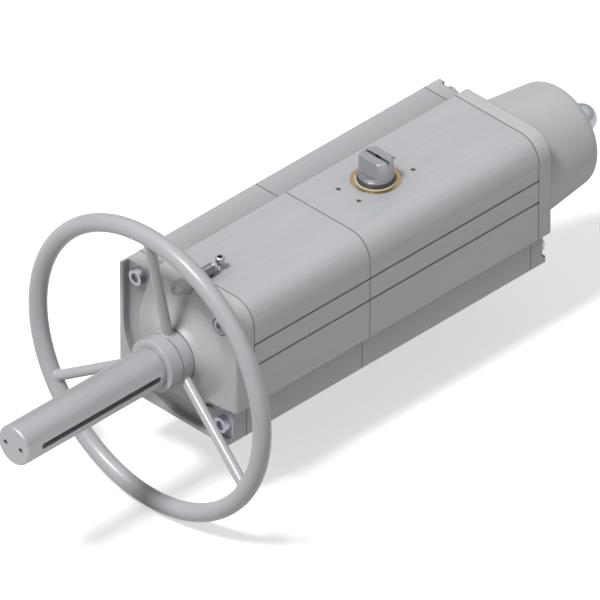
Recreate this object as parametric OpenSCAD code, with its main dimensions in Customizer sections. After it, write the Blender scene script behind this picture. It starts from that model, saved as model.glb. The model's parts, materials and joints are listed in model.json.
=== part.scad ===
// Pneumatic quarter-turn actuator: one spring-return cylinder, rack and pinion, handwheel override.
// The origin is the centre of the valve flange face, on the output shaft's axis.
// X runs along the cylinder towards the spring can and Z runs up the output shaft. Millimetres.

/* [Body] */
// Height of the cylinder axis above the valve flange face
axis_z = 96.4; // [90:0.2:120]
// Output shaft axis to the joint between the two body sections
mid_x = 83; // [75:1:110]
// Length of the front body section
front_len = 170; // [160:1:240]
// Length of the rear body section
rear_len = 250; // [240:1:320]
// Cylinder bore diameter
bore_d = 110; // [100:1:114]
// Cylinder axis to the raised top and side faces
raised_h = 74; // [72:0.5:84]
// Cylinder axis to the far edges of the raised faces
raised_w = 51.2; // [40:0.2:56]
// Cylinder axis to the lower lobe faces
lobe_in = 62.4; // [58:0.2:66]
// Radius of the big top corner
big_r = 27; // [20:1:36]
// Radius of the small outer corners
small_r = 3; // [1:0.5:6]
// Width of the two side grooves
groove_w = 2; // [1:0.5:4]
// Depth of the two side grooves
groove_depth = 1.5; // [0.5:0.5:3]
// Height of the upper side groove above the cylinder axis
groove_high = 25.3; // [10:0.5:40]
// Height of the lower side groove below the cylinder axis
groove_low = 1.9; // [0:0.5:9]
// Radius of the weight-saving channel in the extrusion
channel_r = 9; // [4:1:12]
// Distance of that channel from the axis, along Y and Z
channel_off = 57; // [54:1:60]

/* [Caps] */
// Thickness of the front cap's plate
front_cap_t = 19; // [14:1:30]
// Height of the front cap's face and rim above its plate
dome_h = 8.3; // [4:0.1:12]
// Radius of the front cap's face around the cylinder axis
dome_r = 71; // [66:1:76]
// Rounding along the edge of that face
dome_edge = 4; // [2:0.5:7]
// Foot radius of the cone around the boss
hill_r = 58; // [50:1:60]
// Slope of that cone
hill_slope = 24.5; // [16:0.5:28]
// Blend radius at the foot of the cone
foot_r = 20; // [8:1:30]
// Width of the rims on both caps
rim_w = 4.9; // [3:0.1:8]
// Width of the rim on the rear cap
rear_rim_w = 9.4; // [6:0.5:20]
// Thickness of the rear cap
rear_cap_t = 17.7; // [16:0.1:30]
// Height of the rear cap's rim
rear_rim_h = 4.5; // [2:0.5:8]
// Length of the spigots that centre the caps in the bore
spigot_l = 6; // [5:1:12]
// Radius of the boss that carries the drive nut
boss_r = 30; // [29:1:34]
// Height of that boss above the cap's face
boss_h = 16.2; // [14:0.1:20]
// Blend radius between the boss and the cone
boss_fillet = 16; // [6:1:18]
// Radius of the lug that holds the threaded stud
lug_r = 7.5; // [7.5:0.5:12]
// How far the lug's rounded nose is centred before the cap's face
lug_out = 12; // [0:1:16]
// How far the lug ends before the cap's back face
lug_back = 10; // [6:1:14]

/* [Tie bolts] */
// Side of the square that the four tie bolts stand on
bolt_sq = 125; // [118:0.5:128]
// Offset of that square from the cylinder axis
bolt_off = 12.4; // [10:0.2:14]
// Tie bolt diameter
bolt_d = 12; // [8:1:14]
// Clearance around a tie bolt
bolt_gap = 0.75; // [0.4:0.05:1.5]
// Tie bolt head diameter
bolt_head_d = 18; // [15:0.5:20]
// Tie bolt head height
bolt_head_h = 8; // [6:0.5:8]
// Width across flats of the hexagon socket
bolt_hex = 10; // [6:1:12]
// Diameter of the domed nuts at the rear
nut_d = 21; // [16:0.5:22]
// Height of the domed nuts
nut_h = 9; // [5:0.5:12]

/* [Spring can] */
// Can radius at the rear cap
can_r = 69.5; // [66:0.5:73]
// Can radius at the far end
can_end_r = 59.4; // [58:0.2:66]
// Can length
can_len = 91.2; // [88:0.2:160]
// Rounding of the can's end edge
can_edge = 13; // [6:1:14]
// Can wall at the far end
can_wall = 7; // [5:0.5:9]
// Clear radius inside the can
can_in_r = 51.5; // [50:0.5:54]
// Radius of the domed cap nut on the can
cap_nut_r = 16.5; // [12:0.5:20]
// Overall height of the domed cap nut
cap_nut_h = 46.4; // [36:0.2:60]
// Diameter of the stop rod
stop_d = 16; // [10:1:18]

/* [Spring] */
// Spring wire diameter
wire_d = 10.5; // [6:0.5:12]
// Mean radius of the spring
coil_r = 42; // [38:0.5:43]
// Number of turns
coil_n = 8; // [6:1:9]
// Thickness of the spring seat in the can
seat_t = 4; // [3:0.5:8]

/* [Rack and pinion] */
// Gear module
gear_m = 3; // [2:0.25:3]
// Teeth on the pinion
gear_z = 20; // [18:1:20]
// Pressure angle
gear_pa = 20; // [20:0.5:22]
// Backlash along the pitch line
backlash = 0.3; // [0.1:0.05:0.6]
// Half the height of the pinion
pinion_half = 22; // [18:1:24]
// Half the height of the rack
rack_half = 20; // [14:1:21]
// Thickness of the rack behind its teeth
rack_back = 12; // [10:0.5:12.5]
// Depth of the pocket for the pad behind the rack
slide_t = 12.4; // [10:0.1:13]
// Length of that pad
slide_len = 40; // [30:1:50]
// Height of that pad
slide_w = 24; // [20:1:26]
// Rack end at the left piston
rack_x0 = -112; // [-120:1:-100]
// Rack end at the right piston
rack_x1 = 62; // [56:1:70]
// Left piston thickness
piston_l_t = 28; // [20:1:40]
// Right piston thickness
piston_r_t = 22; // [16:1:30]
// Running clearance of the pistons
piston_gap = 0.4; // [0.3:0.05:0.8]
// Running clearance of the guide rings
ring_gap = 0.08; // [0.02:0.01:0.1]
// Width of the guide rings
ring_w = 8; // [4:1:10]
// Diameter of the screws that hold the rack to the pistons
rack_screw_d = 8; // [5:1:8]
// Height of those screws above and below the axis
rack_screw_z = 10; // [8:0.5:12]

/* [Output shaft] */
// Diameter of the shaft above the housing
shaft_d = 36.7; // [30:0.1:38]
// Diameter of the upper bearing
upper_d = 38.6; // [38.2:0.1:42]
// Diameter of the lower bearing
lower_d = 50; // [44:1:54]
// Height of the shaft end above the top face
shaft_top = 30; // [20:1:40]
// Height where the flats begin
flat_from = 10; // [8:0.5:14]
// Width across the two flats
flat_w = 24; // [20:0.5:30]
// Width of the slot across the shaft end
slot_w = 4; // [3:0.5:6]
// Depth of that slot
slot_depth = 4; // [2:0.5:8]
// Side of the square drive socket
square_w = 22; // [16:1:24]
// Depth of the square drive socket above the flange face
square_depth = 28; // [20:1:32]
// Diameter of the bore in the valve flange
flange_bore_d = 70; // [68:0.5:74]
// Height of the collar above the top bearing
collar_h = 7.3; // [6:0.1:9]
// Running clearance of both shaft bearings
shaft_gap = 0.05; // [0.02:0.01:0.1]

/* [Interfaces] */
// Bolt circle of the valve flange
flange_pcd = 102; // [96:0.5:104]
// Diameter of the valve flange holes
flange_hole_d = 10; // [8:1:10]
// Depth of the valve flange holes
flange_hole_depth = 13; // [10:1:13]
// Spacing of the top holes along X
top_sx = 80; // [70:1:90]
// Spacing of the top holes along Y
top_sy = 30; // [24:1:36]
// Diameter of the top holes and of the port screws
small_hole_d = 5; // [4:0.5:6]
// Depth of the top holes
top_hole_depth = 10; // [6:1:12]
// Distance between the two air ports
port_sx = 24; // [20:1:28]
// Air port diameter
port_d = 13.2; // [10:0.2:13.4]
// Air port depth
port_depth = 11; // [8:1:12]
// Spacing of the port screws along X
port_screw_sx = 32; // [28:1:40]
// Spacing of the port screws along Z
port_screw_sz = 24; // [20:1:30]
// Radius of the air channels
air_r = 3; // [2:0.5:4]
// Distance of the long air channel from the cylinder axis
air_y = 80; // [76:1:82]

/* [Handwheel] */
// Handwheel outside diameter
wheel_d = 350; // [300:1:400]
// Diameter of the rim tube
rim_d = 20; // [14:1:24]
// Rim plane in front of the hub's middle
wheel_dish = 28; // [10:1:40]
// Diameter of the spokes
spoke_d = 11.5; // [8:0.5:14]
// How far the spokes' feet are set before the hub's middle
spoke_front = 1.5; // [0:0.5:3]
// Number of spokes
spoke_n = 3; // [3:1:5]
// Hub diameter
hub_d = 60; // [56:1:70]
// Hub length
hub_len = 15; // [13:0.5:24]
// Length of the collar in front of the hub
hub_collar_len = 17.5; // [12:0.5:24]
// Edge break on the collar
collar_edge = 0.8; // [0.5:0.1:3]
// Gap between the cap's boss and the hub
hub_gap = 0.6; // [0.3:0.1:2]

/* [Override screw] */
// Spindle diameter
spindle_d = 28; // [22:1:29]
// Free room between the tube's closed end and the spindle
spindle_free = 11.2; // [6:0.2:20]
// Radial clearance of the spindle
spindle_gap = 0.3; // [0.2:0.05:0.5]
// Outside diameter of the drive nut
nut_sleeve_d = 40; // [36:0.5:41]
// Diameter of the drive nut's flange
nut_flange_d = 54; // [48:1:54]
// Thickness of that flange
nut_flange_t = 10; // [6:1:12]
// Thickness of a thrust bearing
bearing_t = 4; // [3:0.5:5]
// Radius of the pocket for the bearings
pocket_r = 28; // [27.5:0.5:32]
// Thickness of the bearing retainer
retainer_t = 8; // [5:1:10]
// Thickness of the spindle guide
guide_t = 8; // [5:1:8]
// Width of the spindle keyway
keyway_w = 6; // [4:0.5:8]
// Depth of the spindle keyway
keyway_depth = 3.2; // [2:0.2:4]
// Outside diameter of the protective tube
tube_d = 45.3; // [44:0.1:46]
// Inside diameter of the protective tube
tube_in_d = 34; // [33:0.5:36]
// Length of the protective tube
tube_len = 213.3; // [205:0.1:240]
// Wall at the closed end of the tube
tube_end_t = 8; // [6:0.5:12]
// Width of the slot in the tube
window_w = 6.7; // [4:0.1:10]
// Distance from each end of the tube to the slot
window_x = 20.3; // [14:0.1:24]
// Distance of the two tip holes from the axis
tip_hole_y = 11.1; // [8:0.1:14]
// Diameter of the two tip holes
tip_hole_d = 6; // [4:0.5:8]
// Diameter of the position ring on the spindle
pos_ring_d = 33; // [31:0.5:33.4]
// Width of the position ring
pos_ring_w = 10; // [6:1:14]

/* [Top screws] */
// Distance of the locking screw behind the front body's end
lock_x = 23.5; // [16:0.5:40]
// Diameter of the locking screw
lock_d = 6; // [5:1:8]
// Height of the locking screw above the top face
lock_top = 15.6; // [10:0.2:20]
// Height of the locking screw's head
lock_head_h = 6.4; // [4:0.2:8]
// Diameter of the threaded stud
stud_d = 12; // [10:1:14]
// Length of the stud behind the front cap
stud_out = 14; // [10:1:30]
// Length of the stud inside its lug
stud_in = 16; // [10:1:18]
// Gap between the stud and the top face
stud_gap = 1; // [0.5:0.5:3]
// Pitch of the stud's thread
stud_pitch = 1.75; // [1:0.25:2]

/* [Fits] */
// Clearance between pieces that are fixed together
fit = 0.05; // [0.02:0.01:0.1]
// Thickness of the large sealing rings
seal_d = 3; // [2:0.5:3.5]
// Thickness of the shaft sealing rings
shaft_seal_d = 2.5; // [2:0.25:3]

/* [Hidden] */
$fn = 72;
eps = 1;
bore_r = bore_d / 2;
front_x = -mid_x - front_len;
rear_x = rear_len - mid_x;
plate_x = front_x - front_cap_t;
dome_x = plate_x - dome_h;
boss_x = dome_x - boss_h;
rear_cap_x = rear_x + rear_cap_t;
can_x = rear_cap_x + can_len;
top_z = axis_z + raised_h;
bolt_r = bolt_d / 2;
bolt_hole_r = bolt_r + bolt_gap;
bolt_ys = [bolt_off - bolt_sq / 2, bolt_off + bolt_sq / 2];
bolt_zs = [-bolt_off - bolt_sq / 2, -bolt_off + bolt_sq / 2];
pitch_r = gear_m * gear_z / 2;
base_r = pitch_r * cos(gear_pa);
tip_r = pitch_r + gear_m;
root_r = pitch_r - 1.25 * gear_m;
gear_p = PI * gear_m;
stroke = pitch_r * PI / 2;
rack_face = pitch_r + 1.25 * gear_m;
rack_y1 = rack_face + rack_back;
rack_screw_y = rack_face + rack_back / 2;
rack_screw_r = rack_screw_d / 2;
screw_head_r = rack_screw_r * 1.6;
piston_r = bore_r - piston_gap;
ring_r = bore_r - ring_gap;
ring_in = bore_r - 3.5;
left_x = rack_x0 - piston_l_t;
right_x = rack_x1 + piston_r_t;
button_t = 4;
button_r = 14;
pilot_h = 6;
pilot_r = coil_r - wire_d / 2 - 0.6;
spring_x0 = right_x;
spring_x1 = can_x - can_wall - seat_t;
stop_r = stop_d / 2;
stop_x0 = right_x + pilot_h + stroke + 0.2;
upper_r = upper_d / 2;
lower_r = lower_d / 2;
shaft_r = shaft_d / 2;
flange_r = flange_bore_d / 2;
bush_flange_r = 26.8;
bush_flange_t = 4;
bush_r = 24;
spot_z = axis_z + bore_r + 1.5;
inner_washer_t = 2;
spot_r = 27;
recess_z = 5;
circlip_t = 3;
bush_z0 = recess_z + circlip_t;
shaft_z0 = recess_z + 0.2;
bush_z1 = axis_z - bore_r - 0.5;
nut_x1 = front_x + spigot_l - guide_t - retainer_t - bearing_t - 1;
nut_x0 = nut_x1 - nut_flange_t;
pocket_x = nut_x0 - bearing_t;
sleeve_r = nut_sleeve_d / 2;
spindle_r = spindle_d / 2;
thread_r = spindle_r + spindle_gap;
hub_r = hub_d / 2;
hub_x1 = boss_x - hub_gap;
hub_x0 = hub_x1 - hub_len;
collar_x0 = hub_x0 - hub_collar_len;
tube_r = tube_d / 2;
tube_in_r = tube_in_d / 2;
tube_x1 = hub_x0 - 5.8;
tube_x0 = tube_x1 - tube_len;
window_len = tube_len - 2 * window_x;
wheel_x = (hub_x0 + hub_x1) / 2 - wheel_dish;
rim_r = rim_d / 2;
rim_ring_r = wheel_d / 2 - rim_r;
spoke_r = spoke_d / 2;
spoke_tilt = atan(wheel_dish / (rim_ring_r - hub_r));
spoke_len = norm([wheel_dish, rim_ring_r - hub_r]);
pad_t = 4;
slide_gap = 0.15;
slide_y1 = rack_y1 + slide_t;
slide_x0 = -slide_len - 6;
pad_r = spindle_r - 1;
spindle_x1 = front_x + spigot_l;
spindle_x0 = tube_x0 + tube_end_t + spindle_free;
spindle_len = spindle_x1 - spindle_x0;
stud_z = top_z + stud_gap + stud_d / 2;
stud_r = stud_d / 2;
lock_r = lock_d / 2;
thread_depth = 0.9;
rim_curve = 5.8;

// A prism along X from a section drawn in Y and Z around the cylinder axis.
module prism_x(x0, x1) {
    translate([x0, 0, axis_z]) rotate([90, 0, 90]) linear_extrude(x1 - x0) children();
}

// A rod along X, around the cylinder axis unless y and z move it.
module rod_x(x0, x1, r, y = 0, z = 0) {
    translate([x0, y, axis_z + z]) rotate([0, 90, 0]) cylinder(h = x1 - x0, r = r);
}

// A ring along X with bore r_in.
module ring_x(x0, x1, r, r_in) {
    difference() {
        rod_x(x0, x1, r);
        rod_x(x0 - eps, x1 + eps, r_in);
    }
}

// A solid turned around the cylinder axis. The section is drawn with its radius first, then X.
module turned_x() {
    translate([0, 0, axis_z]) rotate([0, 90, 0]) rotate_extrude() children();
}

// A sealing ring around the cylinder axis.
module o_ring_x(x, r, d) {
    translate([x, 0, axis_z]) rotate([0, 90, 0]) rotate_extrude() translate([r, 0]) circle(d = d);
}

// A ring around the output shaft.
module ring_z(z0, z1, r, r_in) {
    translate([0, 0, z0]) difference() {
        cylinder(h = z1 - z0, r = r);
        translate([0, 0, -eps]) cylinder(h = z1 - z0 + 2 * eps, r = r_in);
    }
}

// What a rounded corner takes away. Its diagonal points outwards at 45 degrees plus turn.
module corner_cut(p, turn, r) {
    translate(p) rotate(turn) translate([-r, -r]) difference() {
        square(r + eps);
        circle(r);
    }
}

module raised_2d() {
    difference() {
        translate([-raised_h, -raised_w]) square(raised_h + raised_w);
        corner_cut([-raised_h, raised_h], 90, big_r);
        corner_cut([raised_w, raised_h], 0, small_r);
        corner_cut([-raised_h, -raised_w], 180, small_r);
    }
}

module lobe_2d() {
    difference() {
        translate([-lobe_in, -axis_z]) square(lobe_in + axis_z);
        corner_cut([axis_z, lobe_in], 0, small_r);
        corner_cut([-lobe_in, -axis_z], 180, small_r);
        corner_cut([axis_z, -axis_z], 270, small_r);
    }
}

// Section of the extruded body, the same from cap to cap.
module body_2d() {
    raised_2d();
    lobe_2d();
}

// The rims that stand up along the two outer edges of the caps.
module rim_2d(w) {
    inner = axis_z - w;
    difference() {
        lobe_2d();
        translate([rim_curve, -rim_curve]) circle(inner - rim_curve, $fn = 120);
        translate([-2 * axis_z, -inner]) square([2 * axis_z + rim_curve, 3 * axis_z]);
        translate([-2 * axis_z, -rim_curve]) square([2 * axis_z + inner, 3 * axis_z]);
    }
}

// Outline of the front cap's face: the round of the cylinder, with tangents up to the raised
// corners. It starts from the line that the rounded edge is centred on, and grows outwards from it.
module dome_2d(grow) {
    in_h = raised_h - dome_edge;
    in_r = dome_r - dome_edge;
    a = dome_a();
    n = [cos(a), sin(a)];
    corner = dome_corner();
    t = in_r * n;
    big = raised_h - big_r;
    half = [[-big, in_h + grow], corner + [0, grow], corner + grow * n, t + grow * n];
    polygon(concat(half, [for (i = [3 : -1 : 0]) [-half[i][1], -half[i][0]]]));
    circle(in_r + grow, $fn = 120);
    translate([-big, big]) circle(big_r - dome_edge + grow);
    if (grow > 0) for (p = [corner, [-corner[1], -corner[0]]]) translate(p) circle(grow);
}

// Direction of the tangent point, seen from the cylinder axis.
function dome_a() = atan2(raised_h, raised_w) - acos(dome_r / norm([raised_w, raised_h]));
// Corner of the line that the rounded edge is centred on.
function dome_corner() = let (a = dome_a(), z = raised_h - dome_edge)
    [(dome_r - dome_edge - z * sin(a)) / cos(a), z];

// A rod across X at the height of the face's rounded edge, with round ends.
module edge_rod(p, q) {
    x = dome_x + dome_edge;
    translate([x, p[0], axis_z + p[1]]) rotate([atan2(p[0] - q[0], q[1] - p[1]), 0, 0])
        cylinder(h = norm(q - p), r = dome_edge);
    for (c = [p, q]) translate([x, c[0], axis_z + c[1]]) sphere(dome_edge);
}

module dome_solid() {
    x = dome_x + dome_edge;
    big = raised_h - big_r;
    in_h = raised_h - dome_edge;
    corner = dome_corner();
    t = (dome_r - dome_edge) * [cos(dome_a()), sin(dome_a())];
    prism_x(x, plate_x + eps) dome_2d(dome_edge);
    prism_x(dome_x, plate_x) dome_2d(0);
    turned_x() translate([dome_r - dome_edge, x]) circle(dome_edge);
    translate([x, -big, axis_z + big]) rotate([0, 90, 0]) rotate_extrude()
        translate([big_r - dome_edge, 0]) circle(dome_edge);
    edge_rod([-big, in_h], corner);
    edge_rod(corner, t);
    edge_rod([-t[1], -t[0]], [-corner[1], -corner[0]]);
    edge_rod([-corner[1], -corner[0]], [-in_h, big]);
}

// Half the section of the boss and its cone, with a blend at the top and at the foot.
module hill_2d() {
    d = [cos(hill_slope), sin(hill_slope)];
    k = [boss_r, dome_x - (hill_r - boss_r) * tan(hill_slope)];
    top_l = boss_fillet * tan((90 - hill_slope) / 2);
    a = k - [0, top_l];
    b = k + top_l * d;
    foot_l = foot_r * tan(hill_slope / 2);
    f = [hill_r, dome_x];
    polygon([[0, boss_x], [boss_r, boss_x], k, f, [hill_r, plate_x], [0, plate_x]]);
    intersection() {
        difference() {
            polygon([[0, a[1]], a, a + [boss_fillet, 0], b, [0, b[1]]]);
            translate(a + [boss_fillet, 0]) circle(boss_fillet);
        }
        translate([0, boss_x]) square([hill_r, boss_h]);
    }
    difference() {
        polygon([f - foot_l * d, f + [foot_l, -foot_r], f + [foot_l, 0], [hill_r + foot_l, plate_x],
            [hill_r - foot_l, plate_x]]);
        translate(f + [foot_l, -foot_r]) circle(foot_r);
    }
}

// Lug for the threaded stud, along the cap's top edge.
module stud_lug() {
    x = dome_x - lug_out;
    z = top_z + 2;
    translate([x, 0, stud_z]) rotate([0, 90, 0]) cylinder(h = front_x - lug_back - x, r = lug_r);
    translate([x, 0, stud_z]) sphere(lug_r);
    translate([dome_x, 0, z]) sphere(lug_r);
    translate([dome_x, 0, z]) cylinder(h = stud_z - z, r = lug_r);
    translate([dome_x, -lug_r * 0.75, top_z - 3]) cube([front_x - lug_back - dome_x, lug_r * 1.5, stud_z - top_z + 3]);
}

module tie_places() {
    for (y = bolt_ys, z = bolt_zs) translate([0, y, z]) children();
}

// The three tie bolts that reach past the spring can and carry nuts.
module nut_places() {
    for (y = bolt_ys, z = bolt_zs) if (y > 0 || z < 0) translate([0, y, z]) children();
}

module tie_holes(x0, x1, r) {
    tie_places() rod_x(x0, x1, r);
}

module side_grooves(x0, x1) {
    for (z = [groove_high, -groove_low])
        translate([x0 - eps, -raised_h - eps, axis_z + z - groove_w / 2])
            cube([x1 - x0 + 2 * eps, groove_depth + eps, groove_w]);
}

// A screw thread drawn as a row of grooves, along Z from the origin.
module thread_z(len, r, pitch, depth) {
    n = floor(len / pitch);
    rotate_extrude() polygon(concat([[0, 0]],
        [for (i = [0 : n - 1], s = [0, 1]) [r - depth + s * depth, (i + s / 2) * pitch]],
        [[r - depth, n * pitch], [r - depth, len], [0, len]]));
}

module socket_z(w, depth) {
    translate([0, 0, -depth]) cylinder(h = depth + eps, d = w / cos(30), $fn = 6);
}

module front_cap() {
    color([0.80, 0.81, 0.82]) difference() {
        union() {
            prism_x(plate_x, front_x) body_2d();
            prism_x(dome_x, plate_x + eps) rim_2d(rim_w);
            dome_solid();
            turned_x() hill_2d();
            stud_lug();
            rod_x(front_x - eps, front_x + spigot_l, bore_r - fit);
        }
        // counterbores for the tie bolt heads
        tie_holes(boss_x, plate_x, bolt_head_d / 2 + 1);
        tie_holes(plate_x - eps, front_x + eps, bolt_hole_r);
        // drive nut, bearings, retainer and guide go in from the cylinder side
        rod_x(boss_x - eps, front_x + spigot_l + eps, sleeve_r + 0.4);
        rod_x(pocket_x, front_x + spigot_l + eps, pocket_r);
        rod_x(boss_x + 1, boss_x + 6, sleeve_r + 4);
        // groove for the sealing ring on the spigot
        ring_x(front_x + 1.4, front_x + 1.6 + seal_d, bore_r + eps, bore_r - seal_d - 0.2);
        // air way from the long channel into the cylinder
        rod_x(front_x - 8, front_x + eps, air_r, air_y, 0);
        translate([front_x - 8, pocket_r + 6, axis_z - air_r]) cube([2 * air_r, air_y - pocket_r - 6, 2 * air_r]);
        translate([front_x - 8 + air_r, pocket_r + 6 + air_r, axis_z]) rotate([0, 90, 0])
            cylinder(h = 8 + spigot_l, r = air_r);
        translate([front_x - lug_back - stud_in - 0.5, 0, stud_z]) rotate([0, 90, 0])
            cylinder(h = stud_in + lug_back, r = stud_r + fit);
    }
}

module front_cylinder() {
    color([0.74, 0.75, 0.77]) difference() {
        prism_x(front_x, -mid_x) body_2d();
        rod_x(front_x - eps, -mid_x + eps, bore_r);
        tie_holes(front_x - eps, -mid_x + eps, bolt_hole_r);
        side_grooves(front_x, -mid_x);
        rod_x(front_x - eps, -mid_x + eps, channel_r, channel_off, -channel_off);
        rod_x(front_x - eps, -mid_x + eps, air_r, air_y, 0);
        translate([front_x + lock_x, 0, axis_z]) cylinder(h = raised_h + eps, r = lock_r + fit);
        // groove for the ring that stops the pistons at rest
        rod_x(left_x - 3.4, left_x - 0.2, bore_r + 2.4);
    }
}

module rear_housing() {
    color([0.74, 0.75, 0.77]) difference() {
        prism_x(-mid_x, rear_x) body_2d();
        rod_x(-mid_x - eps, rear_x + eps, bore_r);
        tie_holes(-mid_x - eps, rear_x + eps, bolt_hole_r);
        side_grooves(-mid_x, rear_x);
        rod_x(-mid_x - eps, rear_x + eps, channel_r, channel_off, -channel_off);
        rod_x(-mid_x - eps, port_sx / 2 * -1 + air_r, air_r, air_y, 0);
        ring_x(-mid_x - eps, -mid_x + seal_d, bore_r + 5.6, bore_r + 2.4);
        // output shaft from below, with room for the lower bearing and its ring
        translate([0, 0, -eps]) cylinder(h = axis_z, r = flange_r);
        translate([0, 0, recess_z - fit]) cylinder(h = circlip_t + 2 * fit, r = flange_r + 1.6);
        // upper bearing
        translate([0, 0, axis_z]) cylinder(h = spot_z - axis_z, r = spot_r);
        translate([0, 0, axis_z]) cylinder(h = raised_h + eps, r = bush_r + fit);
        translate([0, 0, top_z - bush_flange_t]) cylinder(h = bush_flange_t + eps, r = bush_flange_r + fit);
        // valve flange holes, standing at 45 degrees
        for (a = [45 : 90 : 315]) rotate([0, 0, a]) translate([flange_pcd / 2, 0, -eps])
            cylinder(h = flange_hole_depth + eps, d = flange_hole_d);
        // holes for the position switch box on the top face
        for (x = [-1, 1], y = [-1, 1])
            translate([x * top_sx / 2, y * top_sy / 2, top_z - top_hole_depth])
                cylinder(h = top_hole_depth + eps, d = small_hole_d);
        // two air ports and the valve screws on the far side
        for (x = [-1, 1]) {
            translate([x * port_sx / 2, axis_z + eps, axis_z]) rotate([90, 0, 0])
                cylinder(h = port_depth + eps, d = port_d);
            translate([x * port_sx / 2, axis_z, axis_z]) rotate([90, 0, 0])
                cylinder(h = x < 0 ? axis_z - air_y : axis_z - bore_r + 8, r = air_r);
            for (z = [-1, 1]) translate([x * port_screw_sx / 2, axis_z + eps, axis_z + z * port_screw_sz / 2])
                rotate([90, 0, 0]) cylinder(h = top_hole_depth + eps, d = small_hole_d);
        }
        // pocket for the pad behind the rack
        translate([slide_x0 - fit, rack_y1, axis_z - slide_w / 2 - fit])
            cube([slide_len + 2 * fit, slide_y1 + fit - rack_y1, slide_w + 2 * fit]);
    }
}

module rear_cap() {
    color([0.80, 0.81, 0.82]) difference() {
        union() {
            prism_x(rear_x, rear_cap_x) body_2d();
            prism_x(rear_cap_x - eps, rear_cap_x + rear_rim_h) rim_2d(rear_rim_w);
            rod_x(rear_x - spigot_l, rear_x + eps, bore_r - fit);
        }
        rod_x(rear_x - spigot_l - eps, rear_cap_x + eps, can_in_r - 2);
        rod_x(rear_cap_x - 10, rear_cap_x + eps, can_in_r + 8 + fit);
        nut_places() rod_x(rear_x - eps, rear_cap_x + eps, bolt_hole_r);
        nut_places() rod_x(rear_cap_x, rear_cap_x + 2 * rear_rim_h, nut_d / 2 + 1);
        // blind thread for the tie bolt beside the spring can
        translate([0, bolt_ys[0], bolt_zs[1]]) rod_x(rear_x - eps, rear_cap_x - 4, bolt_r + fit);
        ring_x(rear_x - 1.6 - seal_d, rear_x - 1.4, bore_r + eps, bore_r - seal_d - 0.2);
    }
}

module spring_can() {
    cone = atan((can_r - can_end_r) / can_len);
    edge_x = can_x - can_edge;
    edge_r = can_end_r + can_edge * tan(cone) - can_edge / cos(cone);
    color([0.80, 0.81, 0.82]) difference() {
        turned_x() difference() {
            union() {
                polygon([[0, rear_cap_x - 10], [can_in_r + 8, rear_cap_x - 10], [can_in_r + 8, rear_cap_x],
                    [can_r, rear_cap_x], [edge_r + can_edge * cos(cone), edge_x + can_edge * sin(cone)],
                    [edge_r, can_x], [0, can_x]]);
                translate([edge_r, edge_x]) circle(can_edge);
            }
            polygon([[0, rear_cap_x - 12], [can_in_r, rear_cap_x - 12], [can_in_r, rear_cap_x + 20],
                [can_in_r - 2, can_x - can_wall], [0, can_x - can_wall]]);
        }
        rod_x(can_x - can_wall - eps, can_x + eps, stop_r + fit);
    }
}

// Half the section of a domed nut that stands h high on x0 and rises over its rounded top by rise.
module domed_2d(x0, r, h, rise, hole_r, hole_h) {
    curve = (pow(r, 2) + pow(rise, 2)) / (2 * rise);
    difference() {
        union() {
            translate([0, x0]) square([r, h - rise]);
            intersection() {
                translate([0, x0 + h - rise - eps]) square([r, rise + eps]);
                translate([0, x0 + h - curve]) circle(curve, $fn = 120);
            }
        }
        translate([0, x0 - eps]) square([hole_r, hole_h + eps]);
    }
}

module can_cap_nut() {
    color([0.70, 0.71, 0.73]) turned_x()
        domed_2d(can_x, cap_nut_r, cap_nut_h, cap_nut_r - 0.5, stop_r + fit, cap_nut_h - 14);
}

module stop_rod() {
    color([0.60, 0.61, 0.63]) rod_x(stop_x0, can_x + cap_nut_h - 14.5, stop_r);
}

module tie_bolts() {
    color([0.62, 0.63, 0.65]) {
        tie_places() difference() {
            union() {
                rod_x(plate_x - bolt_head_h, plate_x, bolt_head_d / 2);
                rod_x(plate_x - eps, rear_cap_x - 5, bolt_r);
            }
            translate([plate_x - bolt_head_h, 0, axis_z]) rotate([0, -90, 0]) socket_z(bolt_hex, bolt_head_h * 0.6);
        }
        nut_places() rod_x(rear_cap_x - 6, rear_cap_x + nut_h - 3.5, bolt_r);
    }
}

module tie_nuts() {
    color([0.62, 0.63, 0.65]) nut_places() turned_x()
        domed_2d(rear_cap_x, nut_d / 2, nut_h, nut_h * 0.4, bolt_r + fit, nut_h - 3.3);
}

module front_seal() {
    color([0.12, 0.12, 0.13]) o_ring_x(front_x + 1.5 + seal_d / 2, bore_r - seal_d / 2 - fit, seal_d);
}

module mid_seal() {
    color([0.12, 0.12, 0.13]) o_ring_x(-mid_x + seal_d / 2, bore_r + 4, seal_d - 0.1);
}

module rear_seal() {
    color([0.12, 0.12, 0.13]) o_ring_x(rear_x - 1.5 - seal_d / 2, bore_r - seal_d / 2 - fit, seal_d);
}

module upper_bush() {
    z0 = spot_z;
    color([0.72, 0.60, 0.38]) difference() {
        union() {
            ring_z(z0, top_z, bush_r, upper_r + shaft_gap);
            ring_z(top_z - bush_flange_t, top_z, bush_flange_r, upper_r + shaft_gap);
        }
        ring_z(z0 + 5, z0 + 5.2 + shaft_seal_d, upper_r + shaft_seal_d + 0.2, upper_r - eps);
    }
}

module upper_seal() {
    color([0.12, 0.12, 0.13]) translate([0, 0, spot_z + 5.1 + shaft_seal_d / 2]) rotate_extrude()
        translate([upper_r + shaft_seal_d / 2 + 0.1, 0]) circle(d = shaft_seal_d);
}

module top_washer() {
    color([0.85, 0.84, 0.80]) ring_z(top_z, top_z + 1, 22.45, upper_r + shaft_gap);
}

module inner_washer() {
    color([0.85, 0.84, 0.80]) ring_z(spot_z - inner_washer_t, spot_z, spot_r - 0.5, upper_r + shaft_gap);
}

module lower_bush() {
    color([0.72, 0.60, 0.38]) difference() {
        ring_z(bush_z0, bush_z1, flange_r - fit, lower_r + shaft_gap);
        ring_z(bush_z0 + 10, bush_z0 + 10.2 + shaft_seal_d, lower_r + shaft_seal_d + 0.2, lower_r - eps);
    }
}

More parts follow.
